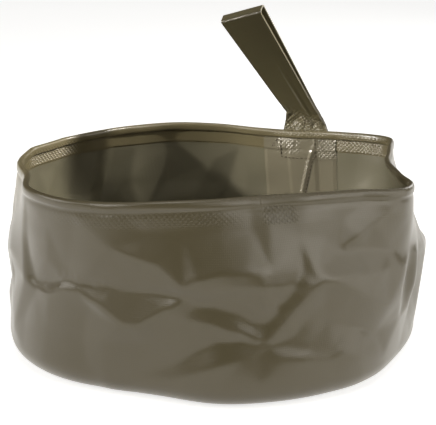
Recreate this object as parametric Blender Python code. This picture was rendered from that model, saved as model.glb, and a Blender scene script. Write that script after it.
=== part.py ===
"""A soft camp washbasin that folds down flat.

A strip of coated fabric makes the wall. Its ends lap at the back, its foot turns in over a round base
panel, and its top turns in over a rim cord. A strap loop stands on the rim above the seam.
Units are metres, +Z is up and the origin is on the floor, under the middle of the basin. The strap folds
about a line along X, with +Y pointing out of the basin there.
"""

import math

import bmesh
import bpy
from mathutils import Matrix, Vector

# The basin
RIM_RADIUS = 0.150
WALL_HEIGHT = 0.138
FABRIC = 0.0007
GAP = 0.0003
CORNER_RADIUS = 0.014
BASE_WELD = 0.012

# The hem and the cord in it
HEM_HEIGHT = 0.0185
CORD_RADIUS = 0.0016
CORD_SETBACK = 0.0016

# The seam at the back
LAP_WIDTH = 0.020
LAP_RAMP = 0.007
TAPE_WIDTH = 0.064
COVER_DROP = 0.0035
THREAD_RADIUS = 0.00035

# The strap, from its sewn end up to the loop's top
STRAP_WIDTH = 0.037
STRAP_PLY = 0.0015
SEWN_DROP = 0.026
NECK_START = 0.008
NECK_TALL_SIDE = 0.017
NECK_SHORT_SIDE = 0.008
NECK_PINCH = 0.003
HINGE_RISE = 0.006
LOOP_LENGTH = 0.116
LOOP_OPENING = 0.007
LOOP_JOIN = 0.010
LOOP_BEND = 0.0015
LOOP_LEAN = 20.0
LOOP_FOLD = 31.0
STITCH_MARGIN = 0.003

# Counts
STEP_DEGREES = 8
LEAST_STEP = 1.6
WALL_ROWS = 6
CORNER_ROWS = 3
CORD_SIDES = 8
HEM_BEND_STEPS = 8

# Where the seam and the strap are, in degrees anticlockwise from the basin's right
SEAM_AZIMUTH = 58.0

# The slumped outline as shares of the rim radius, one every 15 degrees from the right, through the back
RIM_SHARES = (
    0.875, 0.945, 1.065, 0.985, 0.905, 0.885, 0.920, 0.945, 0.958, 0.968, 0.988, 1.020,
    1.020, 0.985, 1.050, 1.035, 0.990, 0.920, 0.850, 0.815, 0.860, 0.925, 1.050, 0.930,
)
BELLY_SHARES = (
    1.050, 1.060, 1.055, 1.010, 0.970, 0.965, 0.985, 1.000, 1.020, 1.040, 1.060, 1.075,
    1.075, 1.070, 1.050, 1.040, 1.020, 0.990, 0.985, 0.985, 1.010, 1.040, 1.060, 1.050,
)
BASE_SHARES = (
    1.020, 1.035, 1.050, 1.050, 1.050, 1.050, 1.050, 1.050, 1.050, 1.050, 1.050, 1.060,
    1.080, 1.090, 1.100, 1.075, 1.020, 1.000, 1.060, 1.070, 1.070, 1.055, 1.025, 1.020,
)
# How much the rim rises there, as shares of the wall height
RIM_LIFT_SHARES = (
    0.000, 0.000, 0.000, -0.010, -0.020, -0.020, -0.010, 0.000, 0.000, 0.000, 0.000, 0.000,
    0.000, 0.000, 0.000, 0.000, 0.015, 0.030, 0.030, 0.030, 0.030, 0.020, 0.000, 0.000,
)
# The height shares of the three outlines above
BASE_TOP_SHARE = 0.05
BELLY_SHARE = 0.60
RIM_FOOT_SHARE = 1.0
# The layers at the seam keep the wall straight further down
SEAM_FOOT_DROP_SHARE = 0.29
SEAM_FOOT_DEGREES = 30

# The main folds of the soft wall: azimuth, height share, half width in degrees, half height share, and
# the push outwards as a share of the rim radius
FOLD_SHARES = (
    # the front
    (-86, 0.68, 26, 0.18, 0.030),
    (-110, 0.74, 16, 0.14, 0.016),
    (-120, 0.82, 10, 0.12, 0.013),
    (-118, 0.58, 24, 0.12, -0.022),
    (-138, 0.56, 9, 0.12, -0.014),
    (-114, 0.42, 16, 0.14, 0.028),
    (-92, 0.21, 20, 0.12, 0.012),
    (-98, 0.25, 10, 0.10, -0.012),
    (-90, 0.42, 12, 0.10, 0.014),
    (-80, 0.40, 12, 0.14, -0.012),
    (-56, 0.54, 20, 0.16, 0.020),
    (-46, 0.72, 14, 0.12, -0.016),
    (-62, 0.44, 8, 0.12, -0.014),
    (-54, 0.36, 14, 0.12, -0.014),
    (-38, 0.46, 10, 0.16, 0.020),
    (-51, 0.20, 16, 0.14, 0.014),
    (-40, 0.86, 12, 0.14, 0.014),
    # the right
    (-28, 0.48, 10, 0.26, -0.010),
    (-20, 0.50, 8, 0.22, -0.016),
    (-14, 0.48, 11, 0.36, 0.020),
    (-6, 0.58, 8, 0.12, 0.018),
    (0, 0.64, 13, 0.18, -0.026),
    (2, 0.42, 13, 0.14, 0.020),
    (7, 0.50, 8, 0.12, -0.018),
    (13, 0.24, 15, 0.16, -0.014),
    (22, 0.56, 9, 0.34, 0.018),
    (26, 0.40, 8, 0.16, 0.014),
    (33, 0.58, 8, 0.26, -0.016),
    # the back
    (87, 0.44, 9, 0.38, 0.018),
    (97, 0.52, 9, 0.28, -0.022),
    (108, 0.64, 8, 0.16, 0.016),
    (109, 0.28, 15, 0.16, 0.014),
    (119, 0.60, 9, 0.34, -0.022),
    (129, 0.58, 8, 0.36, 0.018),
    (136, 0.66, 8, 0.22, -0.018),
    # the left
    (144, 0.60, 9, 0.36, 0.010),
    (157, 0.60, 11, 0.20, -0.022),
    (165, 0.50, 9, 0.10, -0.018),
    (164, 0.36, 15, 0.14, 0.018),
    (175, 0.62, 10, 0.22, 0.014),
    (-179, 0.50, 8, 0.12, 0.014),
    (-171, 0.58, 11, 0.28, -0.018),
    (-163, 0.66, 9, 0.16, 0.020),
    (-156, 0.26, 9, 0.14, 0.012),
    (-152, 0.54, 9, 0.34, 0.018),
)


def clear_scene():
    for item in list(bpy.data.objects):
        bpy.data.objects.remove(item, do_unlink=True)


def make_material(name, colour, roughness):
    """A plain coating of one colour, written as sRGB hex."""
    channels = [int(colour[place : place + 2], 16) / 255 for place in (0, 2, 4)]
    linear = [c / 12.92 if c <= 0.04045 else ((c + 0.055) / 1.055) ** 2.4 for c in channels]
    material = bpy.data.materials.new(name)
    material.use_nodes = True
    shader = material.node_tree.nodes["Principled BSDF"]
    shader.inputs["Base Color"].default_value = (*linear, 1.0)
    shader.inputs["Roughness"].default_value = roughness
    shader.inputs["Metallic"].default_value = 0.0
    return material


def share_at(shares, azimuth):
    """One share off a closed table of evenly spaced azimuths, read along a smooth curve."""
    count = len(shares)
    place = (azimuth % 360.0) / 360.0 * count
    index = int(place)
    t = place - index
    before, start, end, after = (shares[(index + step) % count] for step in (-1, 0, 1, 2))
    rise = (end - before) / 2
    fall = (after - start) / 2
    bend = 2 * start - 2 * end + rise + fall
    turn = 3 * end - 3 * start - 2 * rise - fall
    return bend * t**3 + turn * t**2 + rise * t + start


def ease(value):
    """Zero below 0, one above 1 and a smooth step between them."""
    value = min(1.0, max(0.0, value))
    return value * value * (3 - 2 * value)


def fold_share(azimuth, height_share):
    """The push of all folds at one place of the wall."""
    total = 0.0
    for centre, middle, half_width, half_height, push in FOLD_SHARES:
        turn = (azimuth - centre + 180.0) % 360.0 - 180.0
        across = ease(1 - abs(turn) / half_width)
        along = ease(1 - abs(height_share - middle) / half_height)
        total += push * across * along
    return total


def rim_foot_share(azimuth):
    """The height share below which the wall starts to leave the rim's outline."""
    turn = (azimuth - SEAM_AZIMUTH + 180.0) % 360.0 - 180.0
    return RIM_FOOT_SHARE - SEAM_FOOT_DROP_SHARE * ease(1 - abs(turn) / SEAM_FOOT_DEGREES)


def wall_radius(azimuth, height):
    """The distance from the wall's middle surface to the axis of the outline."""
    height_share = height / WALL_HEIGHT
    if height_share < BELLY_SHARE:
        mix = ease((height_share - BASE_TOP_SHARE) / (BELLY_SHARE - BASE_TOP_SHARE))
        low, high = BASE_SHARES, BELLY_SHARES
    else:
        mix = min(1.0, (height_share - BELLY_SHARE) / (rim_foot_share(azimuth) - BELLY_SHARE))
        low, high = BELLY_SHARES, RIM_SHARES
    outline = (1 - mix) * share_at(low, azimuth) + mix * share_at(high, azimuth)
    return RIM_RADIUS * (outline + fold_share(azimuth, height_share))


def raw_point(azimuth, height, outwards):
    """A place by azimuth and height, pushed outwards from the wall's middle surface."""
    angle = math.radians(azimuth)
    radius = wall_radius(azimuth, height) + outwards
    lift = WALL_HEIGHT * share_at(RIM_LIFT_SHARES, azimuth) * min(1.0, height / wall_top()) ** 2
    return Vector((radius * math.cos(angle), radius * math.sin(angle), height + lift))


def degrees_across(width):
    """How many degrees of azimuth a width takes along the rim at the seam."""
    probe = raw_point(SEAM_AZIMUTH + 1, WALL_HEIGHT, 0) - raw_point(SEAM_AZIMUTH - 1, WALL_HEIGHT, 0)
    return 2 * width / probe.length


def frame_turn():
    """The turn that lays the rim's chord behind the strap along X."""
    half = degrees_across(STRAP_WIDTH) / 2
    chord = raw_point(SEAM_AZIMUTH - half, WALL_HEIGHT, 0) - raw_point(SEAM_AZIMUTH + half, WALL_HEIGHT, 0)
    return Matrix.Rotation(-math.atan2(chord.y, chord.x), 4, "Z")


def frame_of_basin():
    """The turn above, with the outline's middle over the origin."""
    turn = frame_turn()
    azimuths = wall_azimuths(SEAM_AZIMUTH, SEAM_AZIMUTH + 360)
    places = [turn @ raw_point(a, z, FABRIC / 2) for a in azimuths for z in wall_heights()]
    middle = [(min(p[i] for p in places) + max(p[i] for p in places)) / 2 for i in (0, 1)]
    return Matrix.Translation((-middle[0], -middle[1], 0)) @ turn


def seam_edges():
    """The azimuths of the edges and ramps at the seam, which every layer there shares."""
    lap = degrees_across(LAP_WIDTH) / 2
    ramp = degrees_across(LAP_RAMP)
    tape = degrees_across(TAPE_WIDTH) / 2
    strap = degrees_across(STRAP_WIDTH) / 2
    edges = (-tape, -strap, -lap - ramp, -lap, lap, lap + ramp, strap, tape)
    return [SEAM_AZIMUTH + edge for edge in edges]


def wall_azimuths(first, last):
    """Azimuths from first to last: the seam's edges, and even steps where none of those is near."""
    edges = [edge + turn for edge in seam_edges() for turn in (-360, 0, 360)] + [first, last]
    steps = [STEP_DEGREES * n for n in range(-45, 135)]
    steps = [s for s in steps if all(abs(s - edge) > LEAST_STEP for edge in edges)]
    return sorted({round(a, 6) for a in edges + steps if first - 1e-6 <= a <= last + 1e-6})


def wall_top():
    return WALL_HEIGHT - HEM_HEIGHT - GAP


def flange_height():
    """The middle of the flange, which lies on the base panel."""
    return FABRIC + GAP + FABRIC / 2


def wall_heights():
    """The rows of the upright part of the wall: its top, the seam tape's top, and down to the corner."""
    top = wall_top() - COVER_DROP
    bottom = flange_height() + CORNER_RADIUS
    return [wall_top()] + [top + (bottom - top) * n / WALL_ROWS for n in range(WALL_ROWS + 1)]


def wall_section(flange=BASE_WELD):
    """The wall's section from the hem to the flange's edge, as inset, height and the way in."""
    stations = [(0.0, height, 1.0, 0.0) for height in wall_heights()]
    for n in range(1, CORNER_ROWS + 1):
        angle = math.pi / 2 * n / CORNER_ROWS
        inset = CORNER_RADIUS * (1 - math.cos(angle))
        height = flange_height() + CORNER_RADIUS * (1 - math.sin(angle))
        stations.append((inset, height, math.cos(angle), math.sin(angle)))
    if flange:
        stations.append((CORNER_RADIUS + flange, flange_height(), 0.0, 1.0))
    return stations


def layer_point(azimuth, station, depth):
    """A point on one station of the section, this deep inside the wall's middle surface."""
    inset, height, inwards, upwards = station
    outwards = -(inset + depth * inwards)
    base = raw_point(azimuth, max(height, flange_height() + CORNER_RADIUS), outwards)
    drop = min(0.0, height - flange_height() - CORNER_RADIUS)
    return FRAME @ (base + Vector((0, 0, drop + depth * upwards)))


def layer(azimuth, stations, depth):
    """A closed section of one fabric thickness about a depth, down the outside and up the inside."""
    outside = [layer_point(azimuth, station, depth - FABRIC / 2) for station in stations]
    inside = [layer_point(azimuth, station, depth + FABRIC / 2) for station in stations]
    return outside + inside[::-1]


def rim_point(azimuth, outwards, below_top):
    """A point beside the hem, by its distance out from the wall and down from the rim's top."""
    return FRAME @ raw_point(azimuth, WALL_HEIGHT - below_top, outwards)


def finish(name, mesh, material):
    item = bpy.data.objects.new(name, mesh)
    bpy.context.scene.collection.objects.link(item)
    mesh.materials.append(material)
    mesh.shade_smooth()
    mesh.set_sharp_from_angle(angle=math.radians(50))
    return item


def loft(name, sections, material, closed=False):
    """Skins a row of closed sections, and caps the two ends unless the row closes on itself.

    A section runs down one side and back up the other. Both sides split their quads from the upper corner
    of one section to the lower corner of the next, so that layers that lie on each other stay parallel.
    """
    solid = bmesh.new()
    rings = [[solid.verts.new(point) for point in section] for section in sections]
    pairs = list(zip(rings, rings[1:]))
    if closed:
        pairs.append((rings[-1], rings[0]))
    else:
        solid.faces.new(rings[0][::-1])
        solid.faces.new(rings[-1])
    for one, other in pairs:
        for k in range(len(one)):
            after = (k + 1) % len(one)
            if k < len(one) // 2:
                solid.faces.new((one[k], one[after], other[after]))
                solid.faces.new((one[k], other[after], other[k]))
            else:
                solid.faces.new((one[k], one[after], other[k]))
                solid.faces.new((one[after], other[after], other[k]))
    bmesh.ops.recalc_face_normals(solid, faces=solid.faces)
    mesh = bpy.data.meshes.new(name)
    solid.to_mesh(mesh)
    solid.free()
    return finish(name, mesh, material)


def tube(name, points, radius, material, closed=False, sides=2):
    """A round thread or cord along the points."""
    curve = bpy.data.curves.new(name, "CURVE")
    curve.dimensions = "3D"
    spline = curve.splines.new("POLY")
    spline.points.add(len(points) - 1)
    for place, point in zip(spline.points, points):
        place.co = (*point, 1.0)
    spline.use_cyclic_u = closed
    curve.bevel_depth = radius
    curve.bevel_resolution = sides
    curve.use_fill_caps = not closed
    curve.materials.append(material)
    item = bpy.data.objects.new(name, curve)
    bpy.context.scene.collection.objects.link(item)
    return item


def make_base_panel(material):
    """The round panel on the floor, out to where the wall's corner leaves it."""
    azimuths = wall_azimuths(SEAM_AZIMUTH, SEAM_AZIMUTH + 360)[:-1]
    height = flange_height() + CORNER_RADIUS
    edge = [FRAME @ raw_point(a, height, -CORNER_RADIUS) for a in azimuths]
    solid = bmesh.new()
    low = [solid.verts.new((p.x, p.y, 0.0)) for p in edge]
    high = [solid.verts.new((p.x, p.y, FABRIC)) for p in edge]
    solid.faces.new(low[::-1])
    solid.faces.new(high)
    for k in range(len(edge)):
        after = (k + 1) % len(edge)
        solid.faces.new((low[k], low[after], high[after], high[k]))
    mesh = bpy.data.meshes.new("base_panel")
    solid.to_mesh(mesh)
    solid.free()
    return finish("base_panel", mesh, material)


def lap_depth(azimuth):
    """How far inside the outer end of the strip its inner end runs, over the last stretch of a turn."""
    lap = degrees_across(LAP_WIDTH) / 2
    start = SEAM_AZIMUTH + 360 - lap - degrees_across(LAP_RAMP)
    return (FABRIC + GAP) * min(1.0, max(0.0, (azimuth - start) / degrees_across(LAP_RAMP)))


def make_wall_panel(material):
    """One strip, from its outer end at the seam round to its inner end behind the first."""
    lap = degrees_across(LAP_WIDTH) / 2
    azimuths = wall_azimuths(SEAM_AZIMUTH - lap, SEAM_AZIMUTH + 360 + lap)
    stations = wall_section()
    return loft("wall_panel", [layer(a, stations, lap_depth(a)) for a in azimuths], material)


def tape_depth(azimuth):
    """The tape follows the inner end of the strip and comes back to the wall past its edge."""
    lap = degrees_across(LAP_WIDTH) / 2
    turned = azimuth + 360
    if turned <= SEAM_AZIMUTH + 360 + lap:
        return FABRIC + GAP + lap_depth(turned)
    past = (turned - SEAM_AZIMUTH - 360 - lap) / degrees_across(LAP_RAMP)
    return FABRIC + GAP + (FABRIC + GAP) * max(0.0, 1 - past)


def make_seam_tape(material):
    """The band welded over the seam inside, from under the hem to the floor of the basin."""
    half = degrees_across(TAPE_WIDTH) / 2
    azimuths = wall_azimuths(SEAM_AZIMUTH - half, SEAM_AZIMUTH + half)
    stations = wall_section(flange=BASE_WELD / 2)[1:]
    return loft("seam_tape", [layer(a, stations, tape_depth(a)) for a in azimuths], material)


def make_seam_thread(material):
    """The row of stitches down the seam, over the outer end of the strip."""
    azimuth = SEAM_AZIMUTH - degrees_across(LAP_WIDTH) / 2
    heights = wall_heights()[1:]
    depth = tape_depth(azimuth) + FABRIC / 2 + GAP + THREAD_RADIUS
    points = [layer_point(azimuth, (0.0, height, 1.0, 0.0), depth) for height in heights]
    return tube("seam_thread", points, THREAD_RADIUS, material)


def cord_depth():
    """The cord's centre below the rim's top."""
    return CORD_RADIUS + GAP + FABRIC


def hem_section():
    """The hem from the wall's top, over the cord and down to the flap's edge, as out and below pairs."""
    bore = CORD_RADIUS + GAP
    skin = bore + FABRIC
    flap = FABRIC + GAP
    centre = -CORD_SETBACK
    start = math.acos(min(1.0, (FABRIC / 2 - centre) / skin))
    start_in = math.acos(min(1.0, (-FABRIC / 2 - centre) / bore))
    finish_in = math.acos(max(-1.0, (FABRIC / 2 - flap - centre) / bore))
    finish_out = math.acos(max(-1.0, (-FABRIC / 2 - flap - centre) / skin))
    outside = bend_points(centre, skin, -start, math.pi + math.pi - finish_out)
    inside = bend_points(centre, bore, -start_in, math.pi + math.pi - finish_in)
    foot = HEM_HEIGHT
    outer = [(FABRIC / 2, foot)] + outside + [(-FABRIC / 2 - flap, foot - 2 * FABRIC)]
    inner = [(-FABRIC / 2, foot)] + inside + [(FABRIC / 2 - flap, foot - 2 * FABRIC)]
    return outer + inner[::-1]


def bend_points(centre, radius, start, end):
    """Points round the cord, from the outside over the top to the inside."""
    points = []
    for n in range(HEM_BEND_STEPS + 1):
        angle = start + (end - start) * n / HEM_BEND_STEPS
        points.append((centre + radius * math.cos(angle), cord_depth() - radius * math.sin(angle)))
    return points


def make_rim_hem(material):
    azimuths = wall_azimuths(SEAM_AZIMUTH, SEAM_AZIMUTH + 360)[:-1]
    section = hem_section()
    rings = [[rim_point(a, out, below) for out, below in section] for a in azimuths]
    return loft("rim_hem", rings, material, closed=True)


def make_rim_cord(material):
    azimuths = wall_azimuths(SEAM_AZIMUTH, SEAM_AZIMUTH + 360)[:-1]
    angles = [2 * math.pi * n / CORD_SIDES for n in range(CORD_SIDES)]
    circle = [
        (CORD_RADIUS * math.cos(angle) - CORD_SETBACK, cord_depth() + CORD_RADIUS * math.sin(angle))
        for angle in angles
    ]
    rings = [[rim_point(a, out, below) for out, below in circle] for a in azimuths]
    return loft("rim_cord", rings, material, closed=True)


def make_seam_cover(material):
    """The top of the seam tape, over the hem's flap. It moves with the rim."""
    half = degrees_across(TAPE_WIDTH) / 2
    azimuths = wall_azimuths(SEAM_AZIMUTH - half, SEAM_AZIMUTH + half)
    depth = 2 * (FABRIC + GAP)
    top = 2 * cord_depth() + FABRIC
    bottom = HEM_HEIGHT + COVER_DROP
    section = (
        (FABRIC / 2 - depth, top),
        (FABRIC / 2 - depth, bottom),
        (-FABRIC / 2 - depth, bottom),
        (-FABRIC / 2 - depth, top),
    )
    rings = [[rim_point(a, out, below) for out, below in section] for a in azimuths]
    return loft("seam_cover", rings, material)


def hem_bulge():
    """How far the corded edge stands out from the wall."""
    return CORD_RADIUS + GAP + FABRIC - CORD_SETBACK


def make_strap_sewn_end(material):
    """The strap's two plies, sewn flat on the outside of the hem."""
    half = degrees_across(STRAP_WIDTH) / 2
    azimuths = wall_azimuths(SEAM_AZIMUTH - half, SEAM_AZIMUTH + half)
    near = hem_bulge() + GAP
    far = near + 2 * STRAP_PLY
    section = ((far, NECK_START), (far, SEWN_DROP), (near, SEWN_DROP), (near, NECK_START))
    rings = [[rim_point(a, out, below) for out, below in section] for a in azimuths]
    return loft("strap_sewn_end", rings, material)


def strap_hinge():
    """The middle of the line that the strap folds about."""
    middle = (rim_edge(-1) + rim_edge(1)) / 2
    return Vector((middle.x, middle.y, middle.z + HINGE_RISE))


def rim_edge(side):
    """The rim behind one edge of the strap, in the middle of its thickness: -1 is its left."""
    half = degrees_across(STRAP_WIDTH) / 2
    return rim_point(SEAM_AZIMUTH - side * half, hem_bulge() + GAP + STRAP_PLY, 0)


def loop_frame():
    """From the strap's own plane, with x across it, y out of it and z up it, to the basin."""
    fold = Matrix.Rotation(math.radians(LOOP_FOLD), 4, "X")
    return Matrix.Translation(strap_hinge()) @ fold


def crease_end(side):
    """One end of the line where the neck ends, in the strap's plane."""
    rise = NECK_TALL_SIDE if side < 0 else NECK_SHORT_SIDE
    return Vector((side * (STRAP_WIDTH / 2 - NECK_PINCH), 0, rise - HINGE_RISE))


def loop_top(side):
    """One end of the loop's top fold, in the strap's plane."""
    lean = math.radians(LOOP_LEAN)
    along = Vector((-math.sin(lean), 0, math.cos(lean)))
    across = Vector((math.cos(lean), 0, math.sin(lean)))
    start = (crease_end(-1) + crease_end(1)) / 2
    return start + along * LOOP_LENGTH + across * side * STRAP_WIDTH / 2


def make_strap_neck(material):
    """The welded stretch between the sewn end and the loop, which bends when the strap folds."""
    frame = loop_frame()
    gap = Vector((0, 0, GAP))
    rows = []
    for side in (-1, 1):
        foot = rim_edge(side)
        low = foot - Vector((0, 0, NECK_START)) + gap
        middle = foot.lerp(frame @ crease_end(side), 0.5)
        high = frame @ (crease_end(side) - gap)
        thick = [Vector((0, STRAP_PLY, 0))] * 2
        bend = Matrix.Rotation(math.radians(LOOP_FOLD / 2), 3, "X") @ thick[0]
        turned = Matrix.Rotation(math.radians(LOOP_FOLD), 3, "X") @ thick[0]
        places = ((low, thick[0]), (foot, thick[1]), (middle, bend), (high, turned))
        rows.append([p + t for p, t in places] + [p - t for p, t in reversed(places)])
    return loft("strap_neck", rows, material)


def loop_outline(inner):
    """The loop seen from its side as pairs: how far out of its plane, and the share of its length."""
    half = LOOP_OPENING / 2
    if inner:
        join, top = LOOP_JOIN / LOOP_LENGTH, 1 - STRAP_PLY / LOOP_LENGTH
        bend = LOOP_BEND / 2
        tip = GAP / 2
    else:
        join, top = 0.0, 1.0
        half += STRAP_PLY
        bend = LOOP_BEND
        tip = STRAP_PLY
    shoulder = top - bend / LOOP_LENGTH
    points = [(tip, join)]
    if not inner:
        points.append((STRAP_PLY + GAP / 2, LOOP_JOIN / LOOP_LENGTH))
    points += [(half, shoulder), (half - bend, top), (-half + bend, top), (-half, shoulder)]
    if not inner:
        points.append((-STRAP_PLY - GAP / 2, LOOP_JOIN / LOOP_LENGTH))
    points.append((-tip, join))
    return points


def make_strap_loop(material):
    """A flat loop: two legs that part above their join, and a folded top. It is open from side to side.

    It is built in the strap's own plane, so its origin is the middle of the line that it folds about.
    """
    solid = bmesh.new()
    rings = {}
    for inner in (False, True):
        for side in (-1, 1):
            low, high = crease_end(side), loop_top(side)
            places = [low.lerp(high, share) + Vector((0, out, 0)) for out, share in loop_outline(inner)]
            rings[inner, side] = [solid.verts.new(place) for place in places]
    for inner in (False, True):
        left, right = rings[inner, -1], rings[inner, 1]
        for k in range(len(left)):
            after = (k + 1) % len(left)
            solid.faces.new((left[k], left[after], right[after], right[k]))
    for side in (-1, 1):
        outer, inner = rings[False, side], rings[True, side]
        edges = [loop_edge(solid, ring, k) for ring in (outer, inner) for k in range(len(ring))]
        bmesh.ops.triangle_fill(solid, use_beauty=True, edges=edges)
    bmesh.ops.recalc_face_normals(solid, faces=solid.faces)
    mesh = bpy.data.meshes.new("strap_loop")
    solid.to_mesh(mesh)
    solid.free()
    loop = finish("strap_loop", mesh, material)
    loop.matrix_world = loop_frame()
    return loop


def loop_edge(solid, ring, k):
    return solid.edges.get((ring[k], ring[(k + 1) % len(ring)]))


def box_points(outwards, top, bottom, width):
    """A rectangle of stitches beside the hem, with a point at each edge of the layers below it."""
    half = degrees_across(width) / 2
    azimuths = wall_azimuths(SEAM_AZIMUTH - half, SEAM_AZIMUTH + half)
    upper = [rim_point(a, outwards, top) for a in azimuths]
    lower = [rim_point(a, outwards, bottom) for a in azimuths]
    return upper + lower[::-1]


def make_strap_threads(material):
    """The box of stitches that holds the strap, as it shows outside and inside."""
    width = STRAP_WIDTH - 2 * STITCH_MARGIN
    top = NECK_START + STITCH_MARGIN
    outside = hem_bulge() + 2 * GAP + 2 * STRAP_PLY + THREAD_RADIUS
    points = box_points(outside, top, SEWN_DROP - STITCH_MARGIN, width)
    tube("strap_thread_outside", points, THREAD_RADIUS, material, closed=True)
    inside = -(2 * (FABRIC + GAP) + FABRIC / 2 + GAP + THREAD_RADIUS)
    points = box_points(inside, top, HEM_HEIGHT + COVER_DROP - STITCH_MARGIN / 2, width)
    tube("strap_thread_inside", points, THREAD_RADIUS, material, closed=True)


clear_scene()
FRAME = frame_of_basin()
COATED_OLIVE = make_material("coated fabric, olive drab", "6E6753", 0.42)
COATED_DARK = make_material("coated fabric, welded double", "5F5843", 0.38)
CORD_GREY = make_material("rim cord, polyester", "4A4638", 0.75)
THREAD_OLIVE = make_material("sewing thread, dark olive", "3F3B2B", 0.70)

make_base_panel(COATED_OLIVE)
make_wall_panel(COATED_OLIVE)
make_seam_tape(COATED_OLIVE)
make_seam_thread(THREAD_OLIVE)
make_rim_hem(COATED_DARK)
make_rim_cord(CORD_GREY)
make_seam_cover(COATED_DARK)
make_strap_sewn_end(COATED_DARK)
make_strap_neck(COATED_DARK)
make_strap_loop(COATED_OLIVE)
make_strap_threads(THREAD_OLIVE)
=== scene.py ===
import math

import bpy
import numpy as np
from mathutils import Matrix, Vector, noise
from mathutils.geometry import delaunay_2d_cdt


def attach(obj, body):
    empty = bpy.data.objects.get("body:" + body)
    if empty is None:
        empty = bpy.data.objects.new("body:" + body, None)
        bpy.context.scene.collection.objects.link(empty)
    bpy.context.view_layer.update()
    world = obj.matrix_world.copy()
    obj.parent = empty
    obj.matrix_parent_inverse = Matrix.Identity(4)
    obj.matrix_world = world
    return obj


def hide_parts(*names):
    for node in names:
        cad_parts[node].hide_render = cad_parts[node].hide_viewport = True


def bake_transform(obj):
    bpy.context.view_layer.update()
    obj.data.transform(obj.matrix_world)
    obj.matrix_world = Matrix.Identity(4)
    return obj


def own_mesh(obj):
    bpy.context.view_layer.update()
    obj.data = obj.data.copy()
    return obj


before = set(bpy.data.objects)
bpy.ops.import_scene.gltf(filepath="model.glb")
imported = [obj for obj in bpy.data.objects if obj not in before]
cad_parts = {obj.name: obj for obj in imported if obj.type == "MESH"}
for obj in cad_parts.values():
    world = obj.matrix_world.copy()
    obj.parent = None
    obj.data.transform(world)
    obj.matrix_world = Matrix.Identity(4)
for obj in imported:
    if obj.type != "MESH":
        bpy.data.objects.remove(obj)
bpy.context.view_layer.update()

MM = 0.001

# The basin, as in the CAD model
RIM_RADIUS = 0.150
WALL_HEIGHT = 0.138
FABRIC = 0.0007
GAP = 0.0003
CORNER_RADIUS = 0.014
BASE_WELD = 0.012
HEM_HEIGHT = 0.0185
CORD_RADIUS = 0.0016
CORD_SETBACK = 0.0016
LAP_WIDTH = 0.020
LAP_RAMP = 0.004
TAPE_WIDTH = 0.064
STRAP_WIDTH = 0.037
STRAP_PLY = 0.0015
SEWN_DROP = 0.026
NECK_START = 0.008
NECK_TALL_SIDE = 0.017
NECK_SHORT_SIDE = 0.008
NECK_PINCH = 0.003
HINGE_RISE = 0.006
LOOP_LENGTH = 0.116
LOOP_OPENING = 0.007
LOOP_JOIN = 0.010
LOOP_LEAN = 20.0
LOOP_FOLD = 31.0
STITCH_MARGIN = 0.003
SEAM_AZIMUTH = 58.0
TAPE_AZIMUTH = 59.6

# The basin's frame in the photo's, whose camera looks straight along its Y
FRAME_TURN = 17.6252
FRAME_SHIFT = (0.0015922, -0.002247, 0.0)
# The camera: its focal length and the photo's width in pixels, its sensor, reach and place, and how far it
# looks down in radians
FOCAL_PIXELS = 1342.0
PHOTO_PIXELS = 436.0
SENSOR = 36.0
REACH = (0.01, 50.0)
CAMERA_PLACE = (0.0, -1.0, 0.385)
CAMERA_PITCH = 0.2815

# The outline in thousandths of the rim radius, and the rim's lift in those of the wall's height, one every
# 15 degrees from the photo's right, through the back
RIM_SHARES = (
    875, 945, 1065, 985, 905, 885, 920, 945, 958, 968, 988, 1020,
    1020, 985, 1050, 1035, 990, 920, 850, 815, 860, 925, 1050, 930,
)
BELLY_SHARES = (
    1050, 1060, 1055, 1010, 970, 965, 985, 1000, 1020, 1040, 1060, 1075,
    1075, 1070, 1050, 1040, 1020, 990, 985, 985, 1010, 1040, 1060, 1050,
)
BASE_SHARES = (
    1020, 1035, 1050, 1050, 1050, 1050, 1050, 1050, 1050, 1050, 1050, 1060,
    1080, 1090, 1100, 1075, 1020, 1000, 1060, 1070, 1070, 1055, 1025, 1020,
)
RIM_LIFT_SHARES = (
    0, 0, 0, -10, -20, -20, -10, 0, 0, 0, 0, 0,
    0, 0, 0, 0, 15, 30, 30, 30, 30, 20, 0, 0,
)
BASE_TOP_SHARE = 0.05
BELLY_SHARE = 0.60
SEAM_LEAN_SHARES = (0.42, 0.86)
SEAM_LEAN_DEGREES = 30

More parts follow.
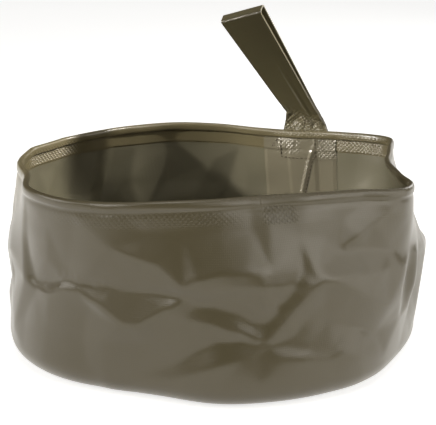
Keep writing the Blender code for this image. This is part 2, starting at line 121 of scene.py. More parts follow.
# The wall's creases: lines of azimuth, height in thousandths of the wall's, and push outwards in
# millimetres. Between the lines the fabric is taut.
CREASES = (
    # the ridge beside the bright left edge
    ((-150, 950, 0.5), (-152, 750, 1.5), (-150, 510, 3.5), (-156, 200, 1.5)),
    # the long crease across the left, and the ridge below it
    ((-147, 515, -1), (-140, 530, -2.5), (-133, 571, -3), (-129, 576, -2), (-124, 575, -3),
     (-119, 586, -2.5), (-111, 570, -3), (-102, 556, -1.5), (-99, 556, 0)),
    ((-145, 475, 0.5), (-139, 480, 1.5), (-134, 530, 1), (-129, 535, 0.5), (-125, 505, 2),
     (-122, 490, 3), (-115, 406, 4), (-111, 402, 4), (-103, 498, 2.5), (-100, 540, 1)),
    # the soft upright fold below it
    ((-125, 460, -0.5), (-127, 380, -1.5), (-128, 280, -2), (-126, 150, -0.5)),
    ((-120, 420, 1.5), (-121, 300, 1.5), (-121, 160, 1)),
    # the lower edge of the flat, leaning front
    ((-130, 930, 0.5), (-119, 780, 3), (-107, 710, 3.5), (-99, 600, 2.5), (-95, 650, 4.5),
     (-89, 680, 5), (-82, 680, 5), (-77.6, 670, 4.5)),
    # the upright crease under the front weld
    ((-77.6, 670, 4.5), (-77.8, 600, 3.5), (-77.8, 520, 2)),
    ((-74.5, 860, 1), (-75.8, 670, 3.2), (-76.2, 600, 2.2), (-76.5, 535, 1)),
    ((-72.0, 575, 0.5), (-71.5, 490, 1.5), (-75.5, 500, 1)),
    # two bands that run down into the node
    ((-97, 500, 0), (-92, 515, -0.5), (-85, 475, -1), (-80.5, 420, -2)),
    ((-98, 445, 1), (-92, 440, 2), (-85, 390, 1.6), (-80, 345, 0.2)),
    ((-89, 570, 0.5), (-84, 545, 0), (-79.5, 460, -1)),
    # the arc from the foot up to the node
    ((-112, 140, 0), (-101, 225, -0.5), (-94.5, 305, -1), (-89.5, 345, -1), (-84, 355, -1),
     (-78.8, 325, -1)),
    ((-109, 70, 1), (-101, 135, 1.5), (-94.5, 200, 1.8), (-89.5, 243, 1.8), (-84, 275, 1),
     (-78.8, 325, -1)),
    # the sharp diagonal ridge from the node
    ((-78.8, 325, -1), (-72.4, 431, 2), (-66.6, 532, 3), (-62.2, 598, 2.5)),
    ((-77.5, 420, -1.8), (-73.5, 500, -1), (-69.5, 580, -0.5), (-66.5, 660, 0)),
    ((-70, 360, -1), (-66.5, 430, -0.5), (-61, 500, 0)),
    # the thin wedge to its right
    ((-76, 318, -1.2), (-66.7, 296, -0.8), (-59.7, 253, 0)),
    ((-73.6, 256, 0.6), (-67.5, 235, 1), (-61, 215, 0.9)),
    # the soft dark hollow at the lower right
    ((-64, 450, -0.5), (-60, 400, -1.5), (-54, 360, -2), (-44, 280, -1.5)),
    ((-58, 240, 1.5), (-52, 200, 2.5), (-42, 150, 1.5)),
    # the long slanting ridge across the right
    ((-66, 800, 0.5), (-63.5, 660, 2), (-59.5, 605, 2.8), (-53, 540, 3), (-48, 480, 3),
     (-41, 420, 2.5), (-36, 380, 1.5)),
    # the dent above it, and the ridge that comes down from the rim
    ((-55, 726, -2), (-47, 715, -2.5), (-38, 690, -1.5), (-33, 620, -0.5)),
    ((-33, 965, 0.5), (-37.5, 884, 2.5), (-43, 830, 2.5), (-48.3, 781, 1.5), (-55, 726, -2)),
    ((-45, 930, 0), (-52, 850, -1), (-58, 780, -1)),
    # the narrow upright crumples at the right edge
    ((-33, 580, 2), (-34.5, 450, 2), (-33.5, 300, 1)),
    ((-28.5, 660, -1.5), (-29.5, 520, -3.5), (-30.5, 400, -2)),
    ((-25, 620, 2), (-26, 450, 2.5), (-27.5, 340, 1)),
    ((-21, 560, -2.5), (-23, 400, -3), (-25.5, 260, -1)),
    # the right side
    ((-14, 800, 1), (-13, 550, 3), (-17, 250, 1.5)),
    ((-4, 860, 0), (-1, 660, -5), (6, 520, -3), (14, 480, 0)),
    ((-6, 580, 2.5), (2, 420, 3.5), (12, 360, 2)),
    ((4, 280, -2), (16, 220, -2.5), (25, 300, -0.5)),
    ((18, 840, 0.5), (21, 620, 3.5), (27, 440, 2.5), (29, 240, 1)),
    ((30, 800, -1), (33, 600, -3), (37, 420, -1.5)),
    # the back
    ((82, 860, 0.5), (86, 620, 3), (91, 360, 2.5), (88, 180, 1)),
    ((92, 740, -1), (98, 520, -4), (96, 300, -2)),
    ((100, 240, 2.5), (110, 300, 2.5), (118, 420, 1)),
    ((108, 820, 1), (107, 600, 2.5), (113, 460, 1.5)),
    ((119, 840, -2), (121, 660, -4), (118, 460, -2), (122, 260, -1)),
    ((127, 880, 1), (128, 680, 3.5), (131, 460, 2.5), (128, 220, 1.5)),
    ((134, 860, -1.5), (135, 660, -3.5), (137, 460, -1.5)),
    ((141, 880, 1), (142, 660, 3), (140, 400, 2), (143, 200, 0.5)),
    # the left side
    ((152, 820, -1), (155, 660, -4), (163, 520, -4.5), (172, 440, -1)),
    ((156, 420, 2.5), (165, 360, 3), (175, 260, 2)),
    ((168, 800, 1), (173, 620, 2.5), (181, 500, 2.5)),
    ((182, 840, -0.5), (187, 660, -3.5), (193, 480, -3), (196, 300, -1)),
    ((184, 320, -1.5), (190, 180, -1.5)),
    ((199, 860, 0.5), (198, 600, 2.5), (201, 360, 1.5)),
)
# The rim's sharp corners: azimuth, half width in degrees, push outwards in millimetres at the rim, and the
# height share below which it has gone
RIM_KINKS = (
    (28, 7, 3, 0.7),
    (164, 6, 2, 0.8),
    (149, 4, 1.2, 0.85),
    (-24, 5, 1.5, 0.8),
)
# The even net of still points that the creases lie in
NET_DEGREES = 10
NET_ROW_SHARES = (0.0, 0.12, 0.30, 0.48, 0.66, 0.84)
NET_CLEARANCE = 0.013
# The surface is kept as a map of radii, a little over a millimetre apart
MAP_STEP_DEGREES = 0.5
MAP_ROWS = 121
SMOOTHINGS = 3
# Small random waves in the fabric
WAVE_LENGTH = 0.024
WAVE_HEIGHT = 0.0007

# Where the cord's casing was pressed shut
WELD_AZIMUTHS = (163, 148, 100, 45, 28, -34, -78, -126, -170)
WELD_BUMP = 0.0014
WELD_BUMP_WIDTH = 0.0014
# The pinch beside each: its share of the bump, and how many bump widths away and wide it is
WELD_PINCH_SHARE = 0.6
WELD_PINCH_PLACE = 3
WELD_PINCH_WIDTH = 1.5
# The casing is taller than the cord, and its sides are flatter than a circle's
BEAD_STRETCH = 1.45
BEAD_SQUARENESS = 0.75
# The pressed line under the corded edge
GROOVE_BELOW = 0.0077
GROOVE_DEPTH = 0.0005
GROOVE_WIDTH = 0.0022

# Where the heated roller left its dots: azimuth, half width in degrees, millimetres below the top, half
# that height, and the share of the full dots
HEM_DOTS = (
    (-71, 6, 12.5, 7.5, 1),
    (-110, 30, 13, 6, 0.35),
    (155, 16, 10.5, 8, 1),
    (39, 9, 12, 9, 1),
    (30, 16, 17, 2.5, 0.7),
    (33, 16, 1, 3, 0.5),
    (-60, 40, 0.5, 2, 0.5),
    (59, 14, 3, 4, 0.4),
)
COVER_DOTS = (
    (49.5, 4, 15, 11, 1),
    (63.5, 6, 14, 10, 0.4),
)

# Fine crumples: azimuth, millimetres below the top, half width in degrees, half that height and rise
RIM_CRUMPLES = (
    (59, 9, 15, 16, 0.25),
    (155, 8, 14, 12, 0.15),
)
WALL_CRUMPLES = (
    (-132.5, 58, 6, 9, 0.7),
    (-122.5, 56.5, 3, 6, 0.7),
    (-68, 105, 3, 6, 0.4),
    (-78.5, 92, 3, 6, 0.4),
    (-77, 67, 2.5, 6, 0.4),
)
CRUMPLE_LENGTH = 0.0036
# How steeply the crumples and the dots fade at the edges of their patches
CRUMPLE_FADE = 1.5
DOT_FADE = 2

# The ridge down the seam, where the end of the strip shows through the tape. It slants a little.
RIDGE_AZIMUTHS = (55.0, 58.8)
RIDGE_HEIGHT_SHARES = (0.822, 0.569)
RIDGE_ROW = 0.0050
RIDGE_WIDTH = 0.0015
RIDGE_HEIGHT = 0.0013
RIDGE_DOT_SHARE = 0.9
# The tape's sides, pressed into the wall
TAPE_TAPER = 0.003
TAPE_SINK = 0.0007
# The cover over the seam at the hem, and the pad pressed into it
COVER_TOP = 0.0066
COVER_BOTTOM = 0.0262
COVER_OVERLAP = 0.0005
COVER_STEP = 0.00025
PAD_AZIMUTHS = (60.4, 66.4)
PAD_BELOW = (0.0078, 0.0168)
PAD_RISE = 0.0006
PAD_EDGE = 0.0012

# Stitches
STITCH_LENGTH = 0.0026
STITCH_GAP = 0.0010
STITCH_RADIUS = 0.00050
STITCH_SIDES = 6
# The rings of a stitch: shares of its length and of its radius
STITCH_RINGS = ((0.0, 0.2), (0.2, 1.0), (0.8, 1.0), (1.0, 0.2))
INSIDE_BOX_TOP = 0.0060
INSIDE_BOX_BOTTOM = 0.0246
SLANT_AZIMUTHS = (69.5, 67.0)
SLANT_BELOW = (0.0160, 0.0075)

# The strap's folds, and how many rows above the neck the roller's dots fade out over
NECK_DOT_ROWS = 8
STRAP_BEND = 0.0015
STRAP_CRUMPLE_LENGTH = 0.009
STRAP_CRUMPLE = 0.0016
# The crumples' strength is a sine of shares that run up the neck, and fades out up the legs
BUCKLE_START = 0.1
BUCKLE_SPAN = 0.6
BUCKLE_END = 0.7
BUCKLE_FADE = 6
LEG_RIDGE_SHARE = 0.42
LEG_RIDGE_WIDTH_SHARE = 0.10
LEG_RIDGE_TOP_SHARE = 0.62
LEG_RIDGE_FOOT = 12
LEG_RIDGE_FADE = 3
LEG_RIDGE = 0.0009
EDGE_ROLL = 0.0005
EDGE_ROLL_SHARE = 0.07
HOLLOW_SHARE = -0.62
HOLLOW_WIDTH_SHARE = 0.28
HOLLOW = 0.0022

# The lamps' names, places in the photo's frame, sizes and powers. They aim at the basin's middle.
SOFTBOX_AIM = (0.0, 0.0, 0.07)
LAMPS = (
    ("top softbox", (0, -0.75, 1.92), 0.8, 4.5),
    ("left softbox", (-1.5, -0.08, 0.62), 0.7, 4.5),
    ("right softbox", (1.47, -0.48, 0.48), 1, 5.2),
    ("back right softbox", (1, 1.1, 0.68), 0.8, 6),
    ("front left softbox", (-1.1, -1.1, 1), 0.8, 8),
    ("front right softbox", (1, -1.1, 0.9), 0.8, 5.2),
)
# Narrow lamps that reach over the rim and light the inside: names, places, aims, cones in degrees, powers
SPOTS = (
    ("seam spot", (-1.1, -0.45, 0.56), (0.078, 0.118, 0.096), 9.5, 150),
    ("left spot", (1, -0.05, 0.92), (-0.128, 0.055, 0.088), 10, 205),
)
SPOT_RADIUS = 0.05
# The floor's half width, how white it looks without light, and its own colour
FLOOR = 6.0
FLOOR_GLOW = 0.72
PAPER = "E4E3E0"
# The room's tones by the sine of the elevation
ROOM_TONES = (
    (0.00, (0.050, 0.047, 0.040, 1.0)),
    (0.06, (0.050, 0.047, 0.040, 1.0)),
    (0.12, (0.200, 0.150, 0.100, 1.0)),
    (0.18, (0.060, 0.055, 0.045, 1.0)),
    (0.75, (0.080, 0.078, 0.072, 1.0)),
    (0.95, (0.550, 0.550, 0.540, 1.0)),
)
WHITE = (1.0, 1.0, 1.0, 1.0)

# The weave under the coating, and the roller's dots in the welds
WEAVE_PITCH = 0.0014
WEAVE_UNEVEN = 0.6
WEAVE_SHARE = 0.6
WEAVE_HEIGHT = 0.00007
DOT_PITCH = 0.0025
DOT_UNEVEN = 0.3
DOT_TURN = 45
DOT_HEIGHT = 0.0006
DOT_SLANT = 1.1
# The fabric's clouds of colour, its grain, and the clear skin of the coating
CLOUD_SIZE = 45 * MM
GRAIN_SIZE = 1.2 * MM
ROUGHNESS_SPREAD = 0.05
PLASTIC_IOR = 1.5
COAT_WEIGHT = 0.6
COAT_ROUGHNESS = 0.28
SHEEN = "FFFAF2"
# The yarn's fibres
FIBRE_SIZE = 0.3 * MM
FIBRE_HEIGHT = 0.05 * MM
YARN_ROUGHNESS = 0.75

# The mesh
GRID = 0.0020
HEM_GRID = 0.0012
TAPE_GRID = 0.0009
FLOOR_STEP_DEGREES = 4.0
FLOOR_RING_SHARE = 0.05
CORD_STEP_DEGREES = 2.0
CORD_SIDES = 12
NECK_ROW_SHARE = 0.1
BEND_STEP = 0.3
SHARP_DEGREES = 48


def linear_colour(code):
    """A colour written as sRGB hex, turned to linear light."""
    channels = [int(code[place : place + 2], 16) / 255 for place in (0, 2, 4)]
    return [c / 12.92 if c <= 0.04045 else ((c + 0.055) / 1.055) ** 2.4 for c in channels] + [1.0]


def photo_frame():
    """From the photo's frame, with its camera straight in front, to the basin's."""
    turn = Matrix.Rotation(math.radians(FRAME_TURN), 4, "Z")
    return Matrix.Translation(FRAME_SHIFT) @ turn


FRAME = photo_frame()


# The shape of the wall


def ease(value):
    value = np.clip(value, 0.0, 1.0)
    return value * value * (3 - 2 * value)


def share_at(shares, azimuth):
    """Shares off a closed table of thousandths at even azimuths, read along a smooth curve."""
    table = np.array(shares) / 1000
    place = (np.asarray(azimuth, float) % 360.0) / 360.0 * len(table)
    index = place.astype(int)
    t = place - index
    before, start, end, after = (table[(index + step) % len(table)] for step in (-1, 0, 1, 2))
    rise = (end - before) / 2
    fall = (after - start) / 2
    bend = 2 * start - 2 * end + rise + fall
    turn = 3 * end - 3 * start - 2 * rise - fall
    return bend * t**3 + turn * t**2 + rise * t + start


def degrees_off(azimuth, centre):
    """Degrees from a place on the rim, positive towards the left."""
    return (azimuth - centre + 180.0) % 360.0 - 180.0


def outline_share(azimuth, share):
    """The slumped outline: base to belly in a soft bend, and belly to rim in a straight lean."""
    low = ease((share - BASE_TOP_SHARE) / (BELLY_SHARE - BASE_TOP_SHARE))
    straight = np.clip((share - BELLY_SHARE) / (1 - BELLY_SHARE), 0.0, 1.0)
    first, last = SEAM_LEAN_SHARES
    at_seam = ease(1 - abs(degrees_off(azimuth, SEAM_AZIMUTH)) / SEAM_LEAN_DEGREES)
    high = straight + (ease((share - first) / (last - first)) - straight) * at_seam
    base, belly, rim = (share_at(t, azimuth) for t in (BASE_SHARES, BELLY_SHARES, RIM_SHARES))
    return base + (belly - base) * low + (rim - belly) * high


def net_place(azimuth, share):
    return Vector((math.radians(azimuth) * RIM_RADIUS, share * WALL_HEIGHT))


def crease_net():
    """The creases and the still points round them as places on the unrolled wall, pushes and lines."""
    places, pushes, lines = [], [], []
    for turn in (-360, 0, 360):
        for crease in CREASES:
            first = len(places)
            for azimuth, height, push in crease:
                places.append(net_place(azimuth + turn, height / 1000))
                pushes.append(push * MM)
            lines += [(k, k + 1) for k in range(first, len(places) - 1)]
    creases = np.array(places)
    for column in range(-240, 240, NET_DEGREES):
        for share in NET_ROW_SHARES:
            place = net_place(column, share)
            if np.hypot(*(creases - np.array(place)).T).min() > NET_CLEARANCE:
                places.append(place)
                pushes.append(0.0)
        places.append(net_place(column, 1.0))
        pushes.append(0.0)
    return places, pushes, lines


def push_map(azimuths, shares):
    """The creases' push on an even grid, straight across each triangle of the net."""
    places, pushes, lines = crease_net()
    corners, _, faces, origins, *_ = delaunay_2d_cdt(places, lines, [], 0, 1e-6)
    heights = [max((pushes[k] for k in origin), key=abs, default=0.0) for origin in origins]
    across = np.radians(azimuths) * RIM_RADIUS
    up = shares * WALL_HEIGHT
    pushed = np.zeros((len(shares), len(azimuths)))
    for face in faces:
        (ax, ay), (bx, by), (cx, cy) = (corners[k] for k in face)
        columns = np.flatnonzero((across >= min(ax, bx, cx)) & (across <= max(ax, bx, cx)))
        rows = np.flatnonzero((up >= min(ay, by, cy)) & (up <= max(ay, by, cy)))
        size = (bx - ax) * (cy - ay) - (cx - ax) * (by - ay)
        if not len(columns) or not len(rows) or abs(size) < 1e-12:
            continue
        x, y = np.meshgrid(across[columns], up[rows])
        to_b = ((x - ax) * (cy - ay) - (cx - ax) * (y - ay)) / size
        to_c = ((bx - ax) * (y - ay) - (x - ax) * (by - ay)) / size
        inside = (to_b >= -1e-9) & (to_c >= -1e-9) & (to_b + to_c <= 1 + 1e-9)
        a, b, c = (heights[k] for k in face)
        block = pushed[np.ix_(rows, columns)]
        block[inside] = (a + (b - a) * to_b + (c - a) * to_c)[inside]
        pushed[np.ix_(rows, columns)] = block
    return pushed


def noise_at(azimuth, height, length):
    """Random waves of this length, the same on both sides of the turn."""
    angle = math.radians(azimuth)
    place = Vector((math.cos(angle) * RIM_RADIUS, math.sin(angle) * RIM_RADIUS, height))
    return noise.noise(place / length)


def waves(azimuths, shares):
    """Small waves all over the fabric."""
    size = [[noise_at(azimuth, share * WALL_HEIGHT, WAVE_LENGTH) for azimuth in azimuths] for share in shares]
    return np.array(size) * WAVE_HEIGHT * np.sin(np.pi * shares)[:, None]


def crumples(patches, azimuths, below):
    """Fine crumples in some places, by azimuth and depth below the rim's top."""
    azimuths, below = np.broadcast_arrays(azimuths, below)
    total = np.zeros(azimuths.shape)
    for centre, middle, half_width, half_height, rise in patches:
        share = ease(CRUMPLE_FADE * (1 - abs(degrees_off(azimuths, centre)) / half_width))
        share = share * ease(CRUMPLE_FADE * (1 - abs(below / MM - middle) / half_height))
        for row, column in np.argwhere(share > 0):
            folds = 1 - 2 * abs(noise_at(azimuths[row, column], below[row, column], CRUMPLE_LENGTH))
            total[row, column] += share[row, column] * rise * MM * folds
    return total


def radius_map():
    azimuths = np.arange(-180.0, 180.0, MAP_STEP_DEGREES)
    shares = np.linspace(0.0, 1.0, MAP_ROWS)
    radii = outline_share(azimuths[None, :], shares[:, None]) * RIM_RADIUS
    radii += push_map(azimuths, shares)
    for centre, half_width, push, low in RIM_KINKS:
        off = abs(degrees_off(azimuths, centre))
        up = ease((shares - low) / (1 - low))
        radii += push * MM * up[:, None] * np.maximum(0.0, 1 - off / half_width)[None, :]
    for _ in range(SMOOTHINGS):
        radii = (np.roll(radii, 1, 1) + 2 * radii + np.roll(radii, -1, 1)) / 4
        padded = np.vstack([radii[:1], radii, radii[-1:]])
        radii = (padded[:-2] + 2 * padded[1:-1] + padded[2:]) / 4
    below = WALL_HEIGHT * (1 - shares)
    return radii + waves(azimuths, shares) + crumples(WALL_CRUMPLES, azimuths[None, :], below[:, None])


RADII = radius_map()


def radius_at(azimuth, height):
    """The radius of the wall's middle surface, read between the map's points."""
    column = ((np.asarray(azimuth, float) + 180.0) % 360.0) / MAP_STEP_DEGREES
    row = np.clip(np.asarray(height, float) / WALL_HEIGHT, 0.0, 1.0) * (MAP_ROWS - 1)
    column, row = np.broadcast_arrays(column, row)
    left = column.astype(int) % RADII.shape[1]
    right = (left + 1) % RADII.shape[1]
    low = np.minimum(row.astype(int), MAP_ROWS - 2)
    u = column - column.astype(int)
    v = row - low
    below = RADII[low, left] * (1 - u) + RADII[low, right] * u
    above = RADII[low + 1, left] * (1 - u) + RADII[low + 1, right] * u
    return below * (1 - v) + above * v


def moved(points, matrix):
    """Points taken from one frame to another."""
    matrix = np.array(matrix)
    return points @ matrix[:3, :3].T + matrix[:3, 3]


def beside_wall(azimuth, height, outwards, rise=0.0):
    """Points beside the wall's middle surface, by azimuth, height and the way out from it."""
    azimuth, height, outwards, rise = np.broadcast_arrays(azimuth, height, outwards, rise)
    radius = radius_at(azimuth, height) + outwards
    upright = WALL_HEIGHT - HEM_HEIGHT
    lift = WALL_HEIGHT * share_at(RIM_LIFT_SHARES, azimuth) * np.minimum(1.0, height / upright) ** 2
    angle = np.radians(azimuth)
    points = np.stack([radius * np.cos(angle), radius * np.sin(angle), height + lift + rise], axis=-1)
    return moved(points, FRAME)


def degrees_across(width):
    """How many degrees of azimuth a width takes along the rim at the seam."""
    ends = beside_wall(SEAM_AZIMUTH + np.array([-1.0, 1.0]), WALL_HEIGHT, 0.0)
    return 2 * width / np.linalg.norm(ends[1] - ends[0])


# Widths as degrees of azimuth, and the heights of the wall's corner
HALF_LAP = degrees_across(LAP_WIDTH) / 2
RAMP = degrees_across(LAP_RAMP)
HALF_TAPE = degrees_across(TAPE_WIDTH) / 2
TAPE_STEP = degrees_across(TAPE_GRID)
HALF_STRAP = degrees_across(STRAP_WIDTH) / 2
FLANGE_HEIGHT = FABRIC + GAP + FABRIC / 2
CORNER_TOP = FLANGE_HEIGHT + CORNER_RADIUS


# Meshes


def piece(name, verts, faces, material, uv=None):
    """A smooth mesh piece. The uv places are lengths along the fabric in metres."""
    mesh = bpy.data.meshes.new(name)
    mesh.from_pydata(np.asarray(verts).reshape(-1, 3).tolist(), [], faces)
    mesh.materials.append(material)
    mesh.shade_smooth()
    mesh.set_sharp_from_angle(angle=math.radians(SHARP_DEGREES))
    if uv is not None:
        layer = mesh.uv_layers.new(name="fabric")
        index = np.empty(len(mesh.loops), int)
        mesh.loops.foreach_get("vertex_index", index)
        layer.data.foreach_set("uv", uv[index].ravel())
    item = bpy.data.objects.new(name, mesh)
    bpy.context.scene.collection.objects.link(item)
    return item


def grid_faces(rows, columns, start=0, flip=False):
    faces = []
    for r in range(rows - 1):
        for c in range(columns - 1):
            a = start + r * columns + c
            face = (a, a + 1, a + columns + 1, a + columns)
            faces.append(face[::-1] if flip else face)
    return faces


def lengths_along(points):
    steps = np.linalg.norm(np.diff(points, axis=0), axis=1)
    return np.concatenate([[0.0], np.cumsum(steps)])


def cloth(name, middle, material, thickness=FABRIC, raised=0.0, dots=None, painted_sheen_side=None):
    """Fabric about a grid of points on its middle surface. Raised moves its face out along its normals.

    A second material, if given, is that of its other side. For the wall it is greyer than the outside: a
    painted sheen.
    """
    rows, columns = middle.shape[:2]
    normals = np.cross(*np.gradient(middle, axis=(0, 1)))
    normals /= np.maximum(np.linalg.norm(normals, axis=2, keepdims=True), 1e-12)
    face = middle + normals * (thickness / 2 + np.broadcast_to(raised, (rows, columns))[..., None])
    back = middle - normals * thickness / 2
    count = rows * columns
    faces = grid_faces(rows, columns, flip=True) + grid_faces(rows, columns, count)
    index = np.arange(count).reshape(rows, columns)
    edge = np.concatenate([index[0], index[1:, -1], index[-1, -2::-1], index[-2:0:-1, 0]]).tolist()
    for one, other in zip(edge, edge[1:] + edge[:1]):
        faces.append((one, other, other + count, one + count))
    across = lengths_along(middle[rows // 2])
    along = lengths_along(middle[:, columns // 2])
    uv = np.stack(np.meshgrid(across, along), axis=-1).reshape(-1, 2)
    item = piece(name, np.concatenate([face, back]), faces, material, np.concatenate([uv, uv]))
    if painted_sheen_side is not None:
        item.data.materials.append(painted_sheen_side)
        half = (rows - 1) * (columns - 1)
        for polygon in item.data.polygons[half : 2 * half]:
            polygon.material_index = 1
    if dots is not None:
        layer = item.data.attributes.new("dots", "FLOAT", "POINT")
        layer.data.foreach_set("value", np.tile(np.ascontiguousarray(dots).ravel(), 2))
    return item


def spaced(first, last, step):
    return np.linspace(first, last, max(2, int(math.ceil(abs(last - first) / step)) + 1))


# The wall and what is joined to it


def wall_section(top, flange, step=GRID):
    """Inset, height and the way inwards and upwards, from the top down round the corner to the flange."""
    rows = [(0.0, height, 1.0, 0.0) for height in spaced(top, CORNER_TOP, step)]
    for angle in spaced(0.0, math.pi / 2, step / CORNER_RADIUS)[1:]:
        inset = CORNER_RADIUS * (1 - math.cos(angle))
        height = FLANGE_HEIGHT + CORNER_RADIUS * (1 - math.sin(angle))
        rows.append((inset, height, math.cos(angle), math.sin(angle)))
    for width in spaced(0.0, flange, step)[1:]:
        rows.append((CORNER_RADIUS + width, FLANGE_HEIGHT, 0.0, 1.0))
    return np.array(rows)


def wall_layer(azimuths, section, depth):
    """Points on the section at each azimuth, this deep inside the wall's middle surface."""
    inset, height, inwards, upwards = (section[:, k, None] for k in range(4))
    rise = np.minimum(0.0, height - CORNER_TOP) + depth * upwards
    return beside_wall(azimuths[None, :], np.maximum(height, CORNER_TOP), -(inset + depth * inwards), rise)


def lap_depth(azimuths):
    """How deep the strip lies: its inner end runs behind its outer end."""
    return (FABRIC + GAP) * ease((azimuths - (SEAM_AZIMUTH + 360 - HALF_LAP - RAMP)) / RAMP)


def ridge_azimuth(height):
    """Where the ridge down the seam lies at a height."""
    top, low = (share * WALL_HEIGHT for share in RIDGE_HEIGHT_SHARES)
    return RIDGE_AZIMUTHS[0] + (RIDGE_AZIMUTHS[1] - RIDGE_AZIMUTHS[0]) * (height - top) / (low - top)


def seam_ridge(azimuths, height):
    off = (azimuths - ridge_azimuth(height)) / degrees_across(RIDGE_WIDTH)
    return RIDGE_HEIGHT * np.exp(-(off**2))


def tape_depth(azimuths, height):
    """The tape follows the inner end of the strip, and rises over the ridge at the outer end's edge."""
    past = ease((azimuths - (SEAM_AZIMUTH + HALF_LAP)) / RAMP)
    depth = (FABRIC + GAP) * (1 + ease((azimuths - (SEAM_AZIMUTH - HALF_LAP - RAMP)) / RAMP) * (1 - past))
    from_edge = (HALF_TAPE - abs(azimuths - TAPE_AZIMUTH)) / degrees_across(TAPE_TAPER)
    return depth - TAPE_SINK * (1 - ease(from_edge)) + seam_ridge(azimuths, height)


def dots_at(patches, azimuths, below):
    """How strongly the roller's dots show at each azimuth and depth below the rim's top."""
    azimuths, below = np.broadcast_arrays(azimuths, below)
    total = np.zeros(azimuths.shape)
    for centre, half_width, middle, half_height, share in patches:
        across = ease(DOT_FADE * (1 - abs(degrees_off(azimuths, centre)) / half_width))
        down = ease(DOT_FADE * (1 - abs(below / MM - middle) / half_height))
        total = np.maximum(total, share * across * down)
    return total


def make_wall(material, painted_sheen_side):
    step = math.degrees(GRID / RIM_RADIUS)
    azimuths = spaced(SEAM_AZIMUTH - HALF_LAP, SEAM_AZIMUTH + 360 + HALF_LAP, step)
    section = wall_section(WALL_HEIGHT - HEM_HEIGHT, BASE_WELD)
    middle = wall_layer(azimuths, section, lap_depth(azimuths)[None, :])
    return cloth("wall", middle, material, painted_sheen_side=painted_sheen_side)


def make_tape(material):
    """The band welded over the seam inside, from under the hem to the floor."""
    azimuths = spaced(TAPE_AZIMUTH - HALF_TAPE, TAPE_AZIMUTH + HALF_TAPE, TAPE_STEP)
    section = wall_section(WALL_HEIGHT - COVER_BOTTOM + COVER_OVERLAP, BASE_WELD / 2)
    height = section[:, 1, None]
    middle = wall_layer(azimuths, section, tape_depth(azimuths[None, :], height))
    ridge = seam_ridge(azimuths[None, :] - degrees_across(RIDGE_WIDTH), height) / RIDGE_HEIGHT
    dots = RIDGE_DOT_SHARE * ridge * (section[:, 0, None] == 0)
    return cloth("tape", middle[:, ::-1], material, dots=dots[:, ::-1])


def seam_line(depth):
    """Points down the seam, this far inside the tape's middle surface."""
    section = wall_section(WALL_HEIGHT - COVER_BOTTOM, 0.0, TAPE_GRID)
    height = section[section[:, 0] == 0.0][:, 1]
    azimuths = ridge_azimuth(height) - degrees_across(RIDGE_ROW) / 2
    return beside_wall(azimuths, height, -(tape_depth(azimuths, height) + depth))


def make_floor_panel(material):
    """The flat, not quite round panel on the floor, out to where the wall's corner leaves it."""
    azimuths = np.arange(0.0, 360.0, FLOOR_STEP_DEGREES)
    edge = beside_wall(azimuths, CORNER_TOP, -CORNER_RADIUS)
    rings = spaced(0.0, 1.0, FLOOR_RING_SHARE)[1:]
    low = np.concatenate([np.zeros((1, 3))] + [edge * [share, share, 0.0] for share in rings])
    verts = np.concatenate([low, low + [0.0, 0.0, FABRIC]])
    count = len(azimuths)
    half = 1 + count * len(rings)
    last = half - count
    faces = []
    for k in range(count):
        after = (k + 1) % count
        wedge = [(0, 1 + k, 1 + after)]
        for a in range(1, last, count):
            wedge.append((a + k, a + count + k, a + count + after, a + after))
        faces += [face[::-1] for face in wedge] + [tuple(half + v for v in face) for face in wedge]
        faces.append((last + k, last + after, half + last + after, half + last + k))
    return piece("floor_panel", verts, faces, material, verts[:, :2].copy())


def groove(below):
    return GROOVE_DEPTH * math.exp(-(((below - GROOVE_BELOW) / GROOVE_WIDTH) ** 2))


def hem_path():
    """The hem's middle line: up the outside, over the cord and down the inside, as out and below pairs."""
    skin = CORD_RADIUS + GAP + FABRIC / 2
    flap = FABRIC + GAP
    start = math.acos((CORD_SETBACK / skin) ** (1 / BEAD_SQUARENESS))
    finish = 2 * math.pi - math.acos(((CORD_SETBACK - flap) / skin) ** (1 / BEAD_SQUARENESS))
    bend = []
    for angle in spaced(-start, finish, HEM_GRID / skin / 2):
        out, up = (math.copysign(abs(v) ** BEAD_SQUARENESS, v) for v in (math.cos(angle), math.sin(angle)))
        bend.append((skin * out - CORD_SETBACK, BEAD_STRETCH * (skin * (1 - up) + FABRIC / 2)))
    outside = [(-groove(below), below) for below in spaced(HEM_HEIGHT, bend[0][1], HEM_GRID)[:-1]]
    inside = [(-flap, below) for below in spaced(bend[-1][1], HEM_HEIGHT - 2 * FABRIC, HEM_GRID)[1:]]
    return np.array(outside + bend + inside)


def weld_bumps(azimuths):
    """Small humps where the cord's casing was pressed shut, each with a pinch beside it."""
    size = np.zeros(len(azimuths))
    for centre in WELD_AZIMUTHS:
        off = np.radians(degrees_off(azimuths, centre)) * RIM_RADIUS
        size += np.exp(-((off / WELD_BUMP_WIDTH) ** 2))
        beside = (off - WELD_PINCH_PLACE * WELD_BUMP_WIDTH) / WELD_BUMP_WIDTH / WELD_PINCH_WIDTH
        size -= WELD_PINCH_SHARE * np.exp(-(beside**2))
    return size * WELD_BUMP


def beside_rim(azimuth, out, below):
    """Points beside the hem, by their distance out from it and down from the rim's top."""
    below = np.asarray(below, float)
    return beside_wall(azimuth, WALL_HEIGHT - below, out)


def rim_layer(azimuths, path):
    return beside_rim(azimuths[None, :], path[:, 0, None], path[:, 1, None])


def make_hem(material):
    step = math.degrees(HEM_GRID / RIM_RADIUS)
    azimuths = spaced(SEAM_AZIMUTH, SEAM_AZIMUTH + 360, step)
    path = hem_path()
    on_bead = ease((GROOVE_BELOW - path[:, 1]) / CORD_RADIUS)
    raised = on_bead[:, None] * weld_bumps(azimuths)[None, :]
    raised = raised + crumples(RIM_CRUMPLES, azimuths[None, :], path[:, 1, None])
    dots = dots_at(HEM_DOTS, azimuths[None, :], path[:, 1, None])
    return cloth("hem", rim_layer(azimuths, path), material, raised=raised, dots=dots)


